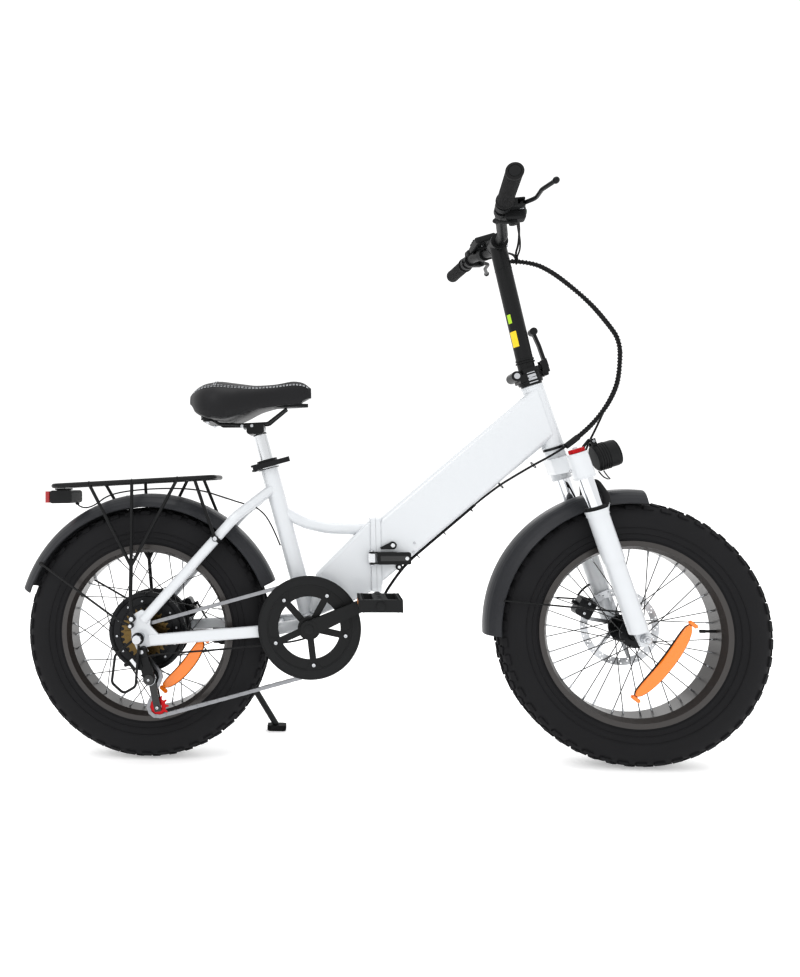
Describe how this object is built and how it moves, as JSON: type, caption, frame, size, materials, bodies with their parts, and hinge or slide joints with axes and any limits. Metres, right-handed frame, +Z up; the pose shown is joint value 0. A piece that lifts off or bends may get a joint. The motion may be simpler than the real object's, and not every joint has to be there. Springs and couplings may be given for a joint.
{
  "type": "folding bicycle",
  "caption": "Fat-tyred folding bicycle with a hinged beam frame, folding stem, sprung fork, hub motor, chain drive, mudguards, rack and kickstand.",
  "frame": {"origin": "on the ground under the middle of the bicycle's length, width and height box", "axes": "+X forward, +Y to the rider's left, +Z up"},
  "size_m": [1.7412, 0.7046, 1.2703],
  "materials": {
    "white_frame": "gloss",
    "black_metal": "satin",
    "steel": "satin",
    "alloy": "satin",
    "chrome": "polished",
    "tyre": "matte",
    "rim": "satin",
    "black_plastic": "matte",
    "grey_plastic": "satin",
    "saddle": "satin",
    "rubber": "matte",
    "red": "gloss",
    "gold_steel": "satin"
  },
  "bodies": {
    "rear": {"rear_frame": "white_frame", "frame_hinge_pin": "steel", "motor_controller": "alloy", "bottom_bracket": "steel", "rear_axle": "steel", "rear_caliper": "black_metal", "derailleur_body": "black_metal", "rear_fender": "grey_plastic", "rack": "black_metal", "tail_light": "black_plastic", "kickstand_bracket": "black_metal", "seat_clamp": "black_metal", "chain": "steel"},
    "kickstand": {"kickstand_leg": "black_metal"},
    "seat_lever": {"seat_clamp_lever": "black_metal"},
    "seat": {"seatpost": "alloy", "saddle_rails": "black_metal", "saddle_base": "black_plastic", "saddle_cover": "saddle"},
    "front": {"front_frame": "white_frame", "battery_pack": "black_plastic", "headset": "black_metal", "cable_run": "rubber"},
    "frame_latch": {"frame_latch_lever": "black_metal"},
    "catch": {"safety_catch": "black_metal"},
    "fork": {"fork_crown": "black_metal", "stanchions": "chrome", "stem_base": "black_metal", "cable_neck": "rubber"},
    "lockout": {"lockout_knob": "red"},
    "lamp": {"headlight": "black_plastic"},
    "lowers": {"fork_lowers": "white_frame", "front_axle": "steel", "front_caliper": "black_metal", "front_fender": "grey_plastic"},
    "front_wheel": {"front_tyre": "tyre", "front_rim": "rim", "front_hub": "alloy"},
    "rear_wheel": {"rear_tyre": "tyre", "rear_rim": "rim", "hub_motor": "black_metal", "freewheel": "gold_steel"},
    "crankset": {"crank_right": "black_metal", "chainring": "black_metal", "crank_left": "black_metal"},
    "pedal_r": {"pedal_right": "black_plastic"},
    "pedal_l": {"pedal_left": "black_plastic"},
    "cage": {"derailleur_cage": "black_metal"},
    "pulley_u": {"upper_pulley": "black_plastic"},
    "pulley_l": {"lower_pulley": "red"},
    "bars": {"handlepost": "black_metal", "handlebar": "black_metal", "grips": "rubber", "bar_controls": "black_plastic", "cable_loop": "rubber"},
    "stem_latch": {"stem_latch_lever": "black_metal"},
    "brake_r": {"brake_lever_right": "black_metal"},
    "brake_l": {"brake_lever_left": "black_metal"},
    "shift": {"shift_lever": "black_plastic"}
  },
  "joints": [
    {"name": "frame_fold", "type": "hinge", "parent": "rear", "child": "front", "pos_m": [-0.0021, 0.044, 0.48], "axis": [0, 0, 1], "range_deg": [0, 140]},
    {"name": "frame_latch", "type": "hinge", "parent": "rear", "child": "frame_latch", "pos_m": [-0.0131, -0.037, 0.474], "axis": [0, 0, -1], "range_deg": [0, 150]},
    {"name": "safety_catch", "type": "hinge", "parent": "front", "child": "catch", "pos_m": [0.0364, -0.035, 0.503], "axis": [0, 1, 0], "range_deg": [0, 90]},
    {"name": "steering", "type": "hinge", "parent": "front", "child": "fork", "pos_m": [0.39694, 0, 0.80141], "axis": [-0.2823, 0, 0.9593], "range_deg": [-45, 45], "deforming": ["cable_neck", "cable_loop"]},
    {"name": "stem_fold", "type": "hinge", "parent": "fork", "child": "bars", "pos_m": [0.33479, 0, 0.8957], "axis": [0, -1, 0], "range_deg": [0, 100], "deforming": ["cable_loop"]},
    {"name": "stem_latch", "type": "hinge", "parent": "fork", "child": "stem_latch", "pos_m": [0.40457, 0, 0.90477], "axis": [0, 1, 0], "range_deg": [0, 100]},
    {"name": "fork_travel", "type": "slide", "parent": "fork", "child": "lowers", "axis": [-0.2823, 0, 0.9593], "range_m": [0, 0.04], "stiffness_N_per_m": 3000, "springref_m": -0.06},
    {"name": "lockout", "type": "hinge", "parent": "fork", "child": "lockout", "pos_m": [0.44323, -0.08, 0.71496], "axis": [-0.2823, 0, 0.9593], "range_deg": [0, 90]},
    {"name": "headlight_tilt", "type": "hinge", "parent": "fork", "child": "lamp", "pos_m": [0.50677, 0, 0.73992], "axis": [0, 1, 0], "range_deg": [-12, 12]},
    {"name": "front_wheel_spin", "type": "hinge", "parent": "lowers", "child": "front_wheel", "pos_m": [0.5704, 0, 0.3], "axis": [0, 1, 0], "continuous": true},
    {"name": "rear_wheel_spin", "type": "hinge", "parent": "rear", "child": "rear_wheel", "pos_m": [-0.5546, 0, 0.3], "axis": [0, 1, 0], "continuous": true, "deforming": ["chain"]},
    {"name": "crank_spin", "type": "hinge", "parent": "rear", "child": "crankset", "pos_m": [-0.1616, 0, 0.321], "axis": [0, 1, 0], "continuous": true, "deforming": ["chain"]},
    {"name": "pedal_right_spin", "type": "hinge", "parent": "crankset", "child": "pedal_r", "pos_m": [-0.0063, -0.16, 0.39015], "axis": [0, 1, 0], "continuous": true},
    {"name": "pedal_left_spin", "type": "hinge", "parent": "crankset", "child": "pedal_l", "pos_m": [-0.3169, 0.16, 0.25185], "axis": [0, 1, 0], "continuous": true},
    {"name": "derailleur_swing", "type": "hinge", "parent": "rear", "child": "cage", "pos_m": [-0.5326, -0.09, 0.205], "axis": [0, -1, 0], "range_deg": [-8, 12], "stiffness_Nm_per_rad": 0.6, "deforming": ["chain"]},
    {"name": "upper_pulley_spin", "type": "hinge", "parent": "cage", "child": "pulley_u", "pos_m": [-0.5326, -0.078, 0.205], "axis": [0, 1, 0], "continuous": true, "deforming": ["chain"]},
    {"name": "lower_pulley_spin", "type": "hinge", "parent": "cage", "child": "pulley_l", "pos_m": [-0.51834, -0.078, 0.13596], "axis": [0, 1, 0], "continuous": true, "deforming": ["chain"]},
    {"name": "seat_height", "type": "slide", "parent": "rear", "child": "seat", "axis": [-0.2455, 0, 0.9694], "range_m": [-0.045, 0.15]},
    {"name": "seat_lever", "type": "hinge", "parent": "rear", "child": "seat_lever", "pos_m": [-0.28817, -0.02, 0.69045], "axis": [0.2455, 0, -0.9694], "range_deg": [0, 110]},
    {"name": "kickstand", "type": "hinge", "parent": "rear", "child": "kickstand", "pos_m": [-0.3886, 0.094, 0.262], "axis": [0, 0.972, 0.235], "range_deg": [0, 100]},
    {"name": "brake_right", "type": "hinge", "parent": "bars", "child": "brake_r", "pos_m": [0.31184, -0.20174, 1.24014], "axis": [0, -0.0606, -0.9982], "range_deg": [0, 20], "stiffness_Nm_per_rad": 0.8, "springref_deg": -20.05},
    {"name": "brake_left", "type": "hinge", "parent": "bars", "child": "brake_l", "pos_m": [0.31184, 0.20174, 1.24014], "axis": [0, -0.0606, 0.9982], "range_deg": [0, 20], "stiffness_Nm_per_rad": 0.8, "springref_deg": -20.05},
    {"name": "gear_shift", "type": "hinge", "parent": "bars", "child": "shift", "pos_m": [0.29907, -0.1784, 1.20767], "axis": [0, 0.0606, 0.9982], "range_deg": [0, 22], "stiffness_Nm_per_rad": 0.2, "springref_deg": -17.19}
  ]
}
